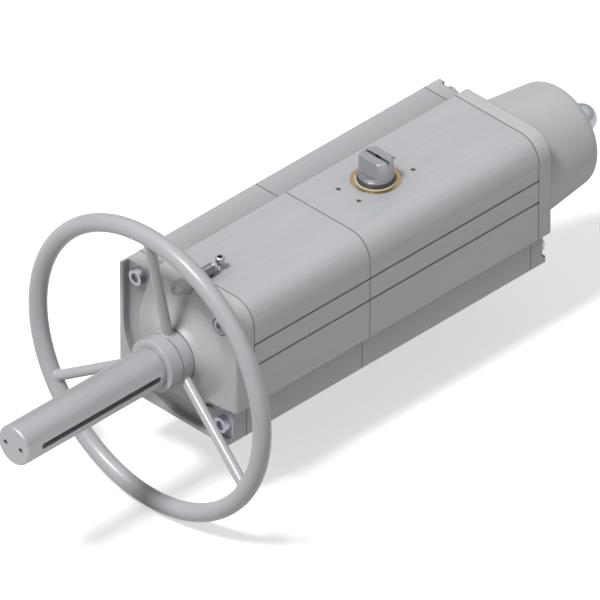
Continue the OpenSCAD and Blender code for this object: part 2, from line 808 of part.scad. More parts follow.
module lower_seal() {
    color([0.12, 0.12, 0.13]) translate([0, 0, bush_z0 + 10.1 + shaft_seal_d / 2]) rotate_extrude()
        translate([lower_r + shaft_seal_d / 2 + 0.1, 0]) circle(d = shaft_seal_d);
}

module lower_circlip() {
    color([0.45, 0.46, 0.48]) difference() {
        ring_z(recess_z, recess_z + circlip_t, flange_r + 1.5, flange_r - 4);
        translate([flange_r - 8, -4, recess_z - eps]) cube([12, 8, circlip_t + 2 * eps]);
    }
}

module rest_stop_ring() {
    color([0.45, 0.46, 0.48]) difference() {
        ring_x(left_x - 3.3, left_x - 0.3, bore_r + 2.3, bore_r - 5);
        translate([left_x - 5, -5, axis_z - bore_r - 5]) cube([8, 10, 14]);
    }
}

module locking_screw() {
    color([0.62, 0.63, 0.65]) translate([front_x + lock_x, 0, 0]) difference() {
        union() {
            translate([0, 0, axis_z + bore_r + 3]) cylinder(h = raised_h - bore_r - 3, r = lock_r);
            translate([0, 0, top_z]) thread_z(lock_top - lock_head_h, lock_r, 1, 0.5);
            translate([0, 0, top_z + lock_top - lock_head_h]) cylinder(h = lock_head_h, r = lock_r + 2);
        }
        translate([0, 0, top_z + lock_top]) socket_z(lock_d - 1, lock_head_h * 0.55);
    }
}

module adjuster_stud() {
    color([0.62, 0.63, 0.65]) translate([front_x - lug_back, 0, stud_z]) rotate([0, 90, 0]) {
        thread_z(stud_out + lug_back, stud_r, stud_pitch, thread_depth);
        translate([0, 0, -stud_in]) cylinder(h = stud_in, r = stud_r);
    }
}

module front_bearing() {
    color([0.66, 0.67, 0.69]) ring_x(pocket_x, nut_x0, pocket_r - 0.4, sleeve_r + 0.4);
}

module rear_bearing() {
    color([0.66, 0.67, 0.69]) ring_x(nut_x1, nut_x1 + bearing_t, pocket_r - 0.4, sleeve_r + 0.4);
}

module bearing_retainer() {
    color([0.55, 0.56, 0.58]) difference() {
        ring_x(nut_x1 + bearing_t, nut_x1 + bearing_t + retainer_t, pocket_r - fit, thread_r + 1);
        for (s = [-1, 1]) rod_x(nut_x1 + bearing_t + retainer_t - 4, nut_x1 + 2 * bearing_t + retainer_t, 2, s * 22, 0);
    }
}

module spindle_guide() {
    x0 = nut_x1 + bearing_t + retainer_t;
    color([0.72, 0.60, 0.38]) {
        ring_x(x0, x0 + guide_t, pocket_r - fit, thread_r);
        translate([x0, -keyway_w / 2, axis_z + spindle_r - keyway_depth + 0.4])
            cube([guide_t, keyway_w, 6]);
    }
}

module wiper_seal() {
    color([0.12, 0.12, 0.13]) ring_x(boss_x + 1, boss_x + 6, sleeve_r + 4 - fit, sleeve_r + 0.1);
}

module rack_guide() {
    color([0.88, 0.87, 0.82]) difference() {
        translate([slide_x0, rack_y1 + slide_gap, axis_z - slide_w / 2])
            cube([slide_len, slide_y1 - 2 * slide_gap - rack_y1, slide_w]);
    }
}

module spring_seat() {
    color([0.55, 0.56, 0.58]) difference() {
        union() {
            rod_x(spring_x1, spring_x1 + seat_t, can_in_r - 4);
            rod_x(spring_x1 - pilot_h, spring_x1 + eps, pilot_r);
        }
        rod_x(spring_x1 - pilot_h - eps, spring_x1 + seat_t + eps, stop_r + 1);
    }
}

// One coil spring with flat ends. The section is the wire cut square to the spring's axis.
module main_spring() {
    len = spring_x1 - spring_x0;
    pitch = (len - wire_d) / (coil_n - 1);
    half = 180 * wire_d / pitch;
    k = 6;
    outer = [for (i = [-k : k]) let (a = half * i / k, e = wire_d / 2 * sqrt(max(0, 1 - pow(i / k, 2))))
        [(coil_r + e) * cos(a), (coil_r + e) * sin(a)]];
    inner = [for (i = [k - 1 : -1 : -k + 1]) let (a = half * i / k, e = wire_d / 2 * sqrt(1 - pow(i / k, 2)))
        [(coil_r - e) * cos(a), (coil_r - e) * sin(a)]];
    color([0.30, 0.31, 0.33]) translate([spring_x0, 0, axis_z]) rotate([0, 90, 0])
        linear_extrude(height = len, twist = 360 * len / pitch, slices = 150, $fn = 4 * k, convexity = 10)
            polygon(concat(outer, inner));
}

function involute(a) = tan(a) * 180 / PI - a;
// Half the angle of a pinion tooth at radius r.
function tooth_half(r) = ((gear_p - backlash) / 4) / pitch_r * 180 / PI
    + involute(gear_pa) - involute(acos(min(1, base_r / r)));
function polar(r, a) = [r * cos(a), r * sin(a)];

module pinion_2d() {
    step = 360 / gear_z;
    flank = [for (i = [0 : 4]) base_r + (tip_r - base_r) * i / 4];
    polygon([for (k = [0 : gear_z - 1]) let (c = 90 + step * (k + 0.5)) each concat(
        [polar(root_r, c - tooth_half(base_r))],
        [for (i = [0 : 4]) polar(flank[i], c - tooth_half(flank[i]))],
        [for (i = [4 : -1 : 0]) polar(flank[i], c + tooth_half(flank[i]))],
        [polar(root_r, c + tooth_half(base_r))])]);
}

module output_shaft() {
    top = top_z + shaft_top;
    washer_z = spot_z - inner_washer_t;
    color([0.62, 0.63, 0.65]) difference() {
        union() {
            translate([0, 0, shaft_z0]) cylinder(h = axis_z - pinion_half - shaft_z0, r = lower_r);
            translate([0, 0, axis_z - pinion_half]) linear_extrude(2 * pinion_half) pinion_2d();
            translate([0, 0, axis_z]) cylinder(h = washer_z - axis_z - fit, r = root_r - 2);
            translate([0, 0, axis_z]) cylinder(h = raised_h + collar_h, r = upper_r);
            translate([0, 0, axis_z]) cylinder(h = top - axis_z - 1.5, r = shaft_r);
            translate([0, 0, top - 1.5]) cylinder(h = 1.5, r1 = shaft_r, r2 = shaft_r - 1.5);
        }
        // two flats for the position indicator
        for (s = [-1, 1]) translate([s * (flat_w / 2 + 20), 0, top_z + flat_from + 20]) cube(40, center = true);
        translate([-slot_w / 2, -shaft_d, top - slot_depth]) cube([slot_w, 2 * shaft_d, slot_depth + eps]);
        translate([0, 0, top - 14]) cylinder(h = 15, d = 6);
        // square drive socket
        translate([-square_w / 2, -square_w / 2, 0]) cube([square_w, square_w, square_depth]);
        // groove for the ring on top
        ring_z(top_z + 1.1, top_z + 4.5, upper_r + eps, upper_r - 1);
    }
}

module shaft_circlip() {
    color([0.45, 0.46, 0.48]) difference() {
        ring_z(top_z + 1.2, top_z + 4.4, 20.8, upper_r - 0.9);
        translate([0, -3, top_z]) cube([24, 6, 6]);
    }
}

module left_piston() {
    color([0.78, 0.79, 0.80]) difference() {
        rod_x(left_x, rack_x0, piston_r);
        ring_x(left_x + 5, left_x + 5.4 + seal_d, bore_r, bore_r - seal_d - 0.6);
        ring_x(left_x + 13, left_x + 13.2 + ring_w, bore_r, ring_in - fit);
        rod_x(left_x - eps, left_x + 2, button_r + fit);
        for (s = [-1, 1]) {
            rod_x(left_x - eps, rack_x0 + eps, rack_screw_r + fit, rack_screw_y, s * rack_screw_z);
            rod_x(left_x - eps, left_x + rack_screw_d, screw_head_r + 0.3, rack_screw_y, s * rack_screw_z);
        }
        // turned pocket towards the pinion
        ring_x(rack_x0 - 9, rack_x0 + eps, 27, 8);
    }
}

module right_piston() {
    color([0.78, 0.79, 0.80]) difference() {
        union() {
            rod_x(rack_x1, right_x, piston_r);
            rod_x(right_x - eps, right_x + pilot_h, pilot_r);
        }
        ring_x(rack_x1 + 7, rack_x1 + 7.2 + ring_w, bore_r, ring_in - fit);
        for (s = [-1, 1]) {
            rod_x(rack_x1 - eps, right_x + pilot_h + eps, rack_screw_r + fit, rack_screw_y, s * rack_screw_z);
            rod_x(right_x - rack_screw_d, right_x + pilot_h + eps, screw_head_r + 0.3, rack_screw_y, s * rack_screw_z);
            rod_x(rack_x1 - eps, right_x + pilot_h + eps, 4, -28, s * 12);
        }
    }
}

module rack_bar() {
    hw = (gear_p - backlash) / 4;
    tip = pitch_r - 0.95 * gear_m;
    color([0.55, 0.56, 0.58]) difference() {
        union() {
            translate([rack_x0, rack_face, axis_z - rack_half]) cube([rack_x1 - rack_x0, rack_back, 2 * rack_half]);
            for (k = [-7 : 2]) translate([k * gear_p, 0, axis_z - rack_half]) linear_extrude(2 * rack_half)
                polygon([for (p = [[-1, rack_face + 0.5], [-1, tip], [1, tip], [1, rack_face + 0.5]])
                    [p[0] * (hw + (p[1] - pitch_r) * tan(gear_pa)), p[1]]]);
        }
        for (s = [-1, 1]) {
            rod_x(rack_x0 - eps, rack_x0 + 20.5, rack_screw_r + fit, rack_screw_y, s * rack_screw_z);
            rod_x(rack_x1 - 20.5, rack_x1 + eps, rack_screw_r + fit, rack_screw_y, s * rack_screw_z);
        }
    }
}

// A socket screw with its head at the origin, pointing along Z.
module cap_screw(len) {
    difference() {
        union() {
            cylinder(h = len, r = rack_screw_r);
            cylinder(h = rack_screw_d - 0.5, r = screw_head_r);
        }
        rotate([180, 0, 0]) socket_z(rack_screw_d * 0.75, rack_screw_d / 2);
    }
}

module left_rack_screws() {
    color([0.45, 0.46, 0.48]) for (s = [-1, 1])
        translate([left_x + 0.5, rack_screw_y, axis_z + s * rack_screw_z]) rotate([0, 90, 0])
            cap_screw(piston_l_t + 19);
}

module right_rack_screws() {
    color([0.45, 0.46, 0.48]) for (s = [-1, 1])
        translate([right_x - 0.5, rack_screw_y, axis_z + s * rack_screw_z]) rotate([0, -90, 0])
            cap_screw(piston_r_t + 19);
}

module piston_seal() {
    color([0.12, 0.12, 0.13]) o_ring_x(left_x + 5.2 + seal_d / 2, bore_r - seal_d / 2 - ring_gap, seal_d);
}

module left_guide_ring() {
    color([0.88, 0.87, 0.82]) ring_x(left_x + 13.1, left_x + 13.1 + ring_w, ring_r, ring_in);
}

module right_guide_ring() {
    color([0.88, 0.87, 0.82]) ring_x(rack_x1 + 7.1, rack_x1 + 7.1 + ring_w, ring_r, ring_in);
}

module thrust_button() {
    color([0.45, 0.46, 0.48]) rod_x(left_x + 2 - button_t, left_x + 2, button_r);
}

module drive_nut() {
    color([0.72, 0.60, 0.38]) difference() {
        union() {
            rod_x(tube_x1, nut_x1 + bearing_t, sleeve_r);
            rod_x(nut_x0, nut_x1, nut_flange_d / 2);
        }
        rod_x(tube_x1 - eps, nut_x1 + bearing_t + eps, thread_r);
        translate([hub_x0 + 1.5 - fit, -3 - fit, axis_z + sleeve_r - 2.8])
            cube([hub_len - 3 + 2 * fit, 6 + 2 * fit, 10]);
    }
}

module hub_key() {
    color([0.55, 0.56, 0.58]) translate([hub_x0 + 1.5, -3, axis_z + sleeve_r - 2.8 + fit])
        cube([hub_len - 3, 6, 5.5]);
}

module wheel_hub() {
    color([0.30, 0.31, 0.33]) difference() {
        rod_x(hub_x0, hub_x1, hub_r);
        rod_x(hub_x0 - eps, hub_x1 + eps, sleeve_r + fit);
        translate([hub_x0 - eps, -3 - fit, axis_z]) cube([hub_len + 2 * eps, 6 + 2 * fit, sleeve_r + 2.8]);
    }
}

module hub_lock_ring() {
    color([0.45, 0.46, 0.48]) ring_x(tube_x1, hub_x0, tube_r - fit, sleeve_r + fit);
}

module spokes_at() {
    for (i = [0 : spoke_n - 1]) translate([(hub_x0 + hub_x1) / 2 - spoke_front, 0, axis_z])
        rotate([360 / spoke_n * i, 0, 0]) translate([0, 0, hub_r]) rotate([0, -spoke_tilt, 0]) children();
}

module wheel_spokes() {
    color([0.30, 0.31, 0.33]) difference() {
        spokes_at() translate([0, 0, -4]) cylinder(h = spoke_len + 4, r = spoke_r);
        rod_x(hub_x0 - 20, hub_x1 + 20, hub_r);
        wheel_rim_shape();
    }
}

module wheel_rim_shape() {
    translate([wheel_x, 0, axis_z]) rotate([0, 90, 0]) rotate_extrude($fn = 96)
        translate([rim_ring_r, 0]) circle(rim_r, $fn = 32);
}

module wheel_rim() {
    color([0.30, 0.31, 0.33]) wheel_rim_shape();
}

module hub_collar() {
    color([0.30, 0.31, 0.33]) difference() {
        turned_x() polygon([[0, hub_x0], [hub_r, hub_x0], [hub_r, collar_x0 + collar_edge],
            [hub_r - collar_edge, collar_x0],
            [0, collar_x0]]);
        rod_x(collar_x0 - eps, hub_x0 + eps, tube_r + fit);
        translate([(collar_x0 + hub_x0) / 2 - 2, 0, axis_z]) rotate([-90, 0, 0]) cylinder(h = hub_r + eps, r = 2.5 + fit);
    }
}

module collar_screw() {
    color([0.62, 0.63, 0.65]) translate([(collar_x0 + hub_x0) / 2 - 2, hub_r - 1, axis_z]) rotate([-90, 0, 0]) difference() {
        translate([0, 0, tube_r + 1.2 - hub_r]) cylinder(h = hub_r - tube_r - 1.2, r = 2.5);
        socket_z(2.5, 2.5);
    }
}

module protective_tube() {
    round_r = 3;
    color([0.78, 0.79, 0.80]) difference() {
        turned_x() difference() {
            union() {
                translate([0, tube_x0]) square([tube_r - round_r, tube_len]);
                translate([0, tube_x0 + round_r]) square([tube_r, tube_len - round_r]);
                translate([tube_r - round_r, tube_x0 + round_r]) circle(round_r);
            }
            translate([-eps, tube_x0 + tube_end_t]) square([tube_in_r + eps, tube_len]);
        }
        // window along the side, with round ends
        translate([tube_x0 + window_x + window_w / 2, -tube_d, axis_z - window_w / 2])
            cube([window_len - window_w, tube_d, window_w]);
        for (x = [window_w / 2, window_len - window_w / 2])
            translate([tube_x0 + window_x + x, 0, axis_z]) rotate([90, 0, 0]) cylinder(h = tube_d, d = window_w);
        for (s = [-1, 1]) rod_x(tube_x0 - eps, tube_x0 + tube_end_t - 2, tip_hole_d / 2, s * tip_hole_y, 0);
    }
}

module spindle() {
    color([0.66, 0.67, 0.69]) difference() {
        rod_x(spindle_x0, spindle_x1, spindle_r);
        translate([spindle_x0 + pos_ring_w + 20, -keyway_w / 2 - 0.2, axis_z + spindle_r - keyway_depth])
            cube([spindle_len, keyway_w + 0.4, 10]);
        rod_x(spindle_x1 - 10, spindle_x1 + eps, 6 + fit);
        // seat of the position ring
        ring_x(spindle_x0 - eps, spindle_x0 + pos_ring_w, spindle_r + eps, spindle_r - 2);
    }
}

module spindle_pad() {
    color([0.45, 0.46, 0.48]) {
        rod_x(spindle_x1, spindle_x1 + pad_t, pad_r);
        rod_x(spindle_x1 - 9, spindle_x1 + eps, 6);
    }
}

module position_ring() {
    color([0.80, 0.35, 0.10]) ring_x(spindle_x0, spindle_x0 + pos_ring_w, pos_ring_d / 2, spindle_r - 2 + fit);
}

front_cap();
front_cylinder();
rear_housing();
rear_cap();
spring_can();
can_cap_nut();
stop_rod();
tie_bolts();
tie_nuts();
front_seal();
mid_seal();
rear_seal();
upper_bush();
upper_seal();
top_washer();
inner_washer();
lower_bush();
lower_seal();
lower_circlip();
rest_stop_ring();
locking_screw();
adjuster_stud();
front_bearing();
rear_bearing();
bearing_retainer();
spindle_guide();
wiper_seal();
rack_guide();
spring_seat();
main_spring();
output_shaft();
shaft_circlip();
left_piston();
right_piston();
rack_bar();
left_rack_screws();
right_rack_screws();
piston_seal();
left_guide_ring();
right_guide_ring();
thrust_button();
drive_nut();
hub_key();
wheel_hub();
hub_lock_ring();
wheel_spokes();
wheel_rim();
hub_collar();
collar_screw();
protective_tube();
spindle();
spindle_pad();
position_ring();
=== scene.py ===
import json
import math

import bmesh
import bpy
from mathutils import Matrix, Vector


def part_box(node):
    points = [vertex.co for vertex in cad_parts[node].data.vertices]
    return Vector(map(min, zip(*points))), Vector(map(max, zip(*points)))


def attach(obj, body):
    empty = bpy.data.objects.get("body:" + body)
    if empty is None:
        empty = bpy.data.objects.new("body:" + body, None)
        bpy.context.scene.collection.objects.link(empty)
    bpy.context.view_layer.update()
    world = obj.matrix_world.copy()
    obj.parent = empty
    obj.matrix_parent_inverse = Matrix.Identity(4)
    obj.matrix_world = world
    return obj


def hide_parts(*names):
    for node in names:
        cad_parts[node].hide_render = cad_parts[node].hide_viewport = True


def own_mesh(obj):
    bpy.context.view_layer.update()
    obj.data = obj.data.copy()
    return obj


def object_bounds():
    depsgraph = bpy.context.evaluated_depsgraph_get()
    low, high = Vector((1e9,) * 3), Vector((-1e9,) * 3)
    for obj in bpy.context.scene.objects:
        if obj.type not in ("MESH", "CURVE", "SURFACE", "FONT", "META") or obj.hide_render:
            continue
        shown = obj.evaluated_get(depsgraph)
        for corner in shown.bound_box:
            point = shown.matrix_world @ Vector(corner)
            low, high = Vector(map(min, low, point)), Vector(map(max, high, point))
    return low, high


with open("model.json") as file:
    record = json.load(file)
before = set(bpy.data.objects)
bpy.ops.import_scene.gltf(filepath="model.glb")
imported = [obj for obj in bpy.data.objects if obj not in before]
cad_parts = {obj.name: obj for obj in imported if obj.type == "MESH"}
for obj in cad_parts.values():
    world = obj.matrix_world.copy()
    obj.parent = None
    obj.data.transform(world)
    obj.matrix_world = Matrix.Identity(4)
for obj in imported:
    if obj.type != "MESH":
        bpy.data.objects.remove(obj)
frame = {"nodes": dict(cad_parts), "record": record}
CAD_BOUNDS = [list(map(float, corner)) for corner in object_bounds()]
NODES = frame["nodes"]
scene = bpy.context.scene


def box_m(name):
    """Lowest and highest corner of a CAD node."""
    low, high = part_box(name)
    return Vector(low), Vector(high)


# Height of the cylinder's axis above the valve flange, which the wheel, the tube and the can share
AXIS_Z = 0.0964

# Camera: the photograph is an isometric drawing, so a very long lens stands far back on that diagonal
RIGHT = Vector((1, -1, 0)).normalized()
UP = Vector((1, 1, 2)).normalized()
AHEAD = Vector((1, 1, -1)).normalized()
LENS = 1700.0
SENSOR = 36.0
# Width of the photograph's frame at the middle of the object, and the point in the middle of that frame
FRAME_WIDTH = 0.6249
FRAME_MIDDLE = Vector((-0.0829, 0, AXIS_Z)) + RIGHT * -0.02063 + UP * -0.03177
OBJECT_MIDDLE = Vector((-0.11, 0, AXIS_Z))


def make_camera():
    data = bpy.data.cameras.new("camera")
    camera = bpy.data.objects.new("camera", data)
    scene.collection.objects.link(camera)
    data.sensor_width = SENSOR
    data.lens = LENS
    data.clip_start = 1.0
    data.clip_end = 200.0
    aim = FRAME_MIDDLE + AHEAD * (OBJECT_MIDDLE - FRAME_MIDDLE).dot(AHEAD)
    distance = FRAME_WIDTH * LENS / SENSOR
    turn = Matrix((RIGHT, UP, -AHEAD)).transposed().to_4x4()
    camera.matrix_world = Matrix.Translation(aim - AHEAD * distance) @ turn
    scene.camera = camera


make_camera()

# Materials


def new_material(name):
    m = bpy.data.materials.new(name)
    m.use_nodes = True
    nt = m.node_tree
    nt.nodes.clear()
    out = nt.nodes.new("ShaderNodeOutputMaterial")
    bsdf = nt.nodes.new("ShaderNodeBsdfPrincipled")
    nt.links.new(bsdf.outputs[0], out.inputs[0])
    return m, nt, bsdf


def node(nt, kind, **values):
    """Adds a node and sets its sockets or, where there is no socket of that name, its properties."""
    n = nt.nodes.new(kind)
    for key, value in values.items():
        if key in n.inputs:
            n.inputs[key].default_value = value
        else:
            setattr(n, key, value)
    return n


def noise(nt, coords, scale, detail, rough=0.55):
    """Noise with its own scale along each axis, in waves per metre."""
    mapping = node(nt, "ShaderNodeMapping", Scale=scale)
    nt.links.new(coords, mapping.inputs["Vector"])
    n = node(nt, "ShaderNodeTexNoise", Scale=1.0, Detail=detail, Roughness=rough)
    nt.links.new(mapping.outputs[0], n.inputs["Vector"])
    return n.outputs["Fac"]


def spread(nt, value, low, high, from_low=0.3, from_high=0.7):
    """Maps a value from one range to another. The default range is the one that noise mostly fills."""
    n = node(nt, "ShaderNodeMapRange")
    n.inputs["From Min"].default_value = from_low
    n.inputs["From Max"].default_value = from_high
    n.inputs["To Min"].default_value = low
    n.inputs["To Max"].default_value = high
    nt.links.new(value, n.inputs["Value"])
    return n.outputs["Result"]


def math_node(nt, op, a, b=0.0):
    n = node(nt, "ShaderNodeMath", operation=op)
    for i, v in enumerate((a, b)):
        if isinstance(v, (int, float)):
            n.inputs[i].default_value = v
        else:
            nt.links.new(v, n.inputs[i])
    return n.outputs[0]


def mix_colour(nt, factor, a, b):
    n = node(nt, "ShaderNodeMix", data_type="RGBA")
    nt.links.new(factor, n.inputs[0])
    for socket, v in ((n.inputs[6], a), (n.inputs[7], b)):
        if isinstance(v, tuple):
            socket.default_value = (*v, 1.0)
        else:
            nt.links.new(v, socket)
    return n.outputs[2]


def distance_from(nt, value, level):
    return math_node(nt, "ABSOLUTE", math_node(nt, "SUBTRACT", value, level))


# How each kind of fine mark runs: scale along X, Y and Z, detail, roughness of the noise
GRAINS = {
    "drawn_x": ((14.0, 1900.0, 1900.0), 3.0, 0.55),
    "ground_z": ((500.0, 500.0, 2600.0), 2.0, 0.55),
    "turned": ((2600.0, 500.0, 500.0), 2.0, 0.55),
    "cast": ((1400.0, 1400.0, 1400.0), 3.0, 0.65),
    "paint": ((620.0, 620.0, 620.0), 2.0, 0.45),
    "plain": ((900.0, 900.0, 900.0), 2.0, 0.55),
}
# colour of the painted shade in the joints between parts
JOINT_SHADE = (0.02, 0.02, 0.022)
# colour of the painted shade in the valleys of threads
THREAD_SHADE = (0.03, 0.03, 0.032)


def joint_shade_mask(nt, place, joints):
    """A narrow line at each X in joints: painted shade in the gap between two body sections."""
    gap_shade = None
    for x in joints:
        line = spread(nt, distance_from(nt, place.outputs["X"], x), 0.85, 0.0, 0.00025, 0.00075)
        gap_shade = line if gap_shade is None else math_node(nt, "MAXIMUM", gap_shade, line)
    return gap_shade


def step_shade_mask(nt, place, step_shade):
    """Painted shade on a flat face beside a step. It's darkest near the step and fades out away from it.

    The face lies at level on the axis across. Along the other axis the step is at start, the painted shade is
    full at near and faint at far, and nothing past end in X is shaded."""
    across, level, along, start, near, far, end = step_shade
    inside = math_node(nt, "MULTIPLY", spread(nt, place.outputs[along], 0.0, 1.0, start, near),
                       spread(nt, place.outputs["X"], 1.0, 0.0, end, end + 0.0002))
    on_face = spread(nt, distance_from(nt, place.outputs[across], level), 1.0, 0.0, 0.0006, 0.0012)
    fade = spread(nt, place.outputs[along], 0.36, 0.06, near, far)
    return math_node(nt, "MULTIPLY", math_node(nt, "MULTIPLY", on_face, fade), inside)


def valley_shade_mask(nt, place, thread):
    """Painted shade in the valleys of a thread, from its root radius to just under its crest."""
    plane, centre, root, crest = thread
    squares = []
    for letter, middle in zip(plane, centre):
        off = math_node(nt, "SUBTRACT", place.outputs[letter], middle)
        squares.append(math_node(nt, "MULTIPLY", off, off))
    reach = math_node(nt, "SQRT", math_node(nt, "ADD", *squares))
    return spread(nt, reach, 0.92, 0.0, root, crest)


def edge_wear_highlight_mask(nt, bevel, broad):
    """Edges, worn and lightened by a painted highlight, where the rounded normal leaves the true one, broken
    up by the broad noise.
    """
    geometry = node(nt, "ShaderNodeNewGeometry")
    dot = node(nt, "ShaderNodeVectorMath", operation="DOT_PRODUCT")
    nt.links.new(bevel.outputs[0], dot.inputs[0])
    nt.links.new(geometry.outputs["Normal"], dot.inputs[1])
    return math_node(nt, "MULTIPLY", spread(nt, dot.outputs["Value"], 1.0, 0.0, 0.82, 0.985),
                     spread(nt, broad, 0.45, 1.0))


def surface(name, colour, rough, metal, grain, tint, bump, edge=0.0008, wear_highlight=None, corner_shade=0.35,
            shade_reach=0.006, shade_from=0.85, coat=0.0, joints=(), step_shades=(), thread=None):
    """A procedural surface with a slow drift of tone, fine marks, painted shade in corners and rounded, worn
    edges with a painted highlight.

    tint and bump are the strength of the fine marks in tone and in relief, and edge is the radius of rounded
    edges. Painted shade darkens the colour where less than shade_from of the space within shade_reach is
    open."""
    m, nt, bsdf = new_material(name)
    coords = node(nt, "ShaderNodeTexCoord").outputs["Object"]
    place = node(nt, "ShaderNodeSeparateXYZ")
    nt.links.new(coords, place.inputs[0])
    broad = noise(nt, coords, (9.0, 42.0, 42.0) if grain == "drawn_x" else (30.0, 30.0, 30.0), 3.0)
    fine = noise(nt, coords, *GRAINS[grain])
    bevel = node(nt, "ShaderNodeBevel", samples=6, Radius=edge)

    drift = spread(nt, broad, -tint * 0.3, tint * 0.3)
    tone = math_node(nt, "ADD", math_node(nt, "ADD", drift, spread(nt, fine, -tint, tint)), 1.0)
    toned = node(nt, "ShaderNodeHueSaturation", Color=(*colour, 1.0))
    nt.links.new(tone, toned.inputs["Value"])
    result = toned.outputs[0]

    # painted shade: the colour darkens where ambient occlusion finds the space nearby closed in
    occlusion = node(nt, "ShaderNodeAmbientOcclusion", samples=8, Distance=shade_reach)
    shaded_colour = tuple(c * 0.32 for c in colour)
    result = mix_colour(nt, spread(nt, occlusion.outputs["AO"], corner_shade, 0.0, 0.25, shade_from), result, shaded_colour)
    # edges lightened for wear and as a painted highlight
    if wear_highlight:
        result = mix_colour(nt, edge_wear_highlight_mask(nt, bevel, broad), result, wear_highlight)
    # painted shade in the joints between sections
    if joints:
        result = mix_colour(nt, joint_shade_mask(nt, place, joints), result, JOINT_SHADE)
    # painted shade on a face beside a step, strongest near the step
    for step_shade in step_shades:
        result = mix_colour(nt, step_shade_mask(nt, place, step_shade), result, shaded_colour)
    # painted shade in the valleys of the thread
    if thread:
        result = mix_colour(nt, valley_shade_mask(nt, place, thread), result, THREAD_SHADE)
    nt.links.new(result, bsdf.inputs["Base Color"])

    uneven = math_node(nt, "ADD", math_node(nt, "MULTIPLY", broad, 0.15),
                       math_node(nt, "MULTIPLY", fine, 0.85))
    nt.links.new(spread(nt, uneven, rough - 0.06, rough + 0.06), bsdf.inputs["Roughness"])
    bsdf.inputs["Metallic"].default_value = metal
    if coat:
        bsdf.inputs["Coat Weight"].default_value = coat
        bsdf.inputs["Coat Roughness"].default_value = 0.12
    relief = node(nt, "ShaderNodeBump", Strength=bump, Distance=0.0002)
    nt.links.new(fine, relief.inputs["Height"])
    nt.links.new(bevel.outputs[0], relief.inputs["Normal"])
    nt.links.new(relief.outputs[0], bsdf.inputs["Normal"])
    return m


# Joints between the sections of the body, along X
JOINTS = (box_m("front_cylinder")[0].x, box_m("front_cylinder")[1].x, box_m("rear_housing")[1].x)
# Painted shade on the top of the far lobe and on the side of the near lobe, which lie LOBE_IN from the axis
LOBE_IN = 0.0624
BODY_END = box_m("rear_cap")[1].x + 0.0002
STEP_SHADES = (
    ("Z", AXIS_Z + LOBE_IN, "Y", 0.050, 0.056, 0.090, BODY_END),
    ("Y", -LOBE_IN, "Z", 0.046, 0.042, 0.006, BODY_END),
)
BODY = {"joints": JOINTS, "step_shades": STEP_SHADES, "shade_from": 0.97}
# the paint's edges are lightened for wear and as a painted highlight
PAINT = {"edge": 0.0010, "wear_highlight": (0.60, 0.61, 0.62), "coat": 0.25}
PAINT_COLOUR = (0.50, 0.51, 0.53)
MATERIALS = {
    "housing_aluminium": surface("housing_aluminium", (0.53, 0.54, 0.56), 0.42, 0.15, "drawn_x", 0.06, 0.14,
                                 edge=0.0026, corner_shade=0.7, shade_reach=0.09, **BODY),
    "cast_caps": surface("cast_caps", (0.57, 0.58, 0.595), 0.50, 0.10, "cast", 0.06, 0.40,
                         edge=0.0022, corner_shade=0.6, shade_reach=0.05, **BODY),
    "zinc_steel": surface("zinc_steel", (0.52, 0.54, 0.57), 0.35, 0.95, "plain", 0.06, 0.04, edge=0.0004),
    "machined_steel": surface("machined_steel", (0.48, 0.49, 0.51), 0.36, 1.0, "ground_z", 0.04, 0.03,
                              edge=0.0005),
    "spring_steel": surface("spring_steel", (0.10, 0.10, 0.11), 0.42, 0.6, "plain", 0.08, 0.08, edge=0.0003),
    "bronze": surface("bronze", (0.58, 0.40, 0.19), 0.32, 1.0, "turned", 0.06, 0.08, edge=0.0004),
    "bearing_plastic": surface("bearing_plastic", (0.72, 0.69, 0.60), 0.50, 0.0, "plain", 0.03, 0.04,
                               edge=0.0004),
    "seal_rubber": surface("seal_rubber", (0.025, 0.025, 0.027), 0.62, 0.0, "plain", 0.10, 0.10, edge=0.0003),
    "piston_aluminium": surface("piston_aluminium", (0.60, 0.61, 0.62), 0.34, 0.9, "turned", 0.04, 0.06),
    "rack_steel": surface("rack_steel", (0.40, 0.41, 0.43), 0.36, 1.0, "drawn_x", 0.05, 0.08, edge=0.0004),
    "wheel_paint": surface("wheel_paint", PAINT_COLOUR, 0.33, 0.0, "paint", 0.03, 0.10, **PAINT),
    # the tube's edges are lightened for wear and as a painted highlight
    "tube_steel": surface("tube_steel", (0.52, 0.53, 0.55), 0.46, 0.55, "drawn_x", 0.05, 0.08, edge=0.0006,
                          wear_highlight=(0.68, 0.69, 0.70)),
    "marker_paint": surface("marker_paint", (0.74, 0.19, 0.03), 0.38, 0.0, "paint", 0.05, 0.06, edge=0.0004),
}


def dress(obj, material):
    """Gives a mesh one material on all of its slots."""
    if not obj.data.materials:
        obj.data.materials.append(material)
    for slot in obj.material_slots:
        slot.material = material


def dress_nodes():
    for entry in frame["record"]["subparts"]:
        dress(NODES[entry["node"]], MATERIALS[entry["material_slot"]])
    # The hub and its collar share the wheel's paint, with painted shade in the joint between them
    hub = NODES["wheel_hub"]
    joint = hub.matrix_world.inverted() @ Vector((box_m("wheel_hub")[0].x, 0, AXIS_Z))
    paint = surface("wheel_paint_hub", PAINT_COLOUR, 0.33, 0.0, "paint", 0.03, 0.10, joints=(joint.x,),
                    **PAINT)
    dress(hub, paint)
    dress(NODES["hub_collar"], paint)


dress_nodes()

# Pieces that take the place of plainer CAD solids, and the weld seams


# Radius of the point at which a turned piece closes
CENTRE = 0.0002


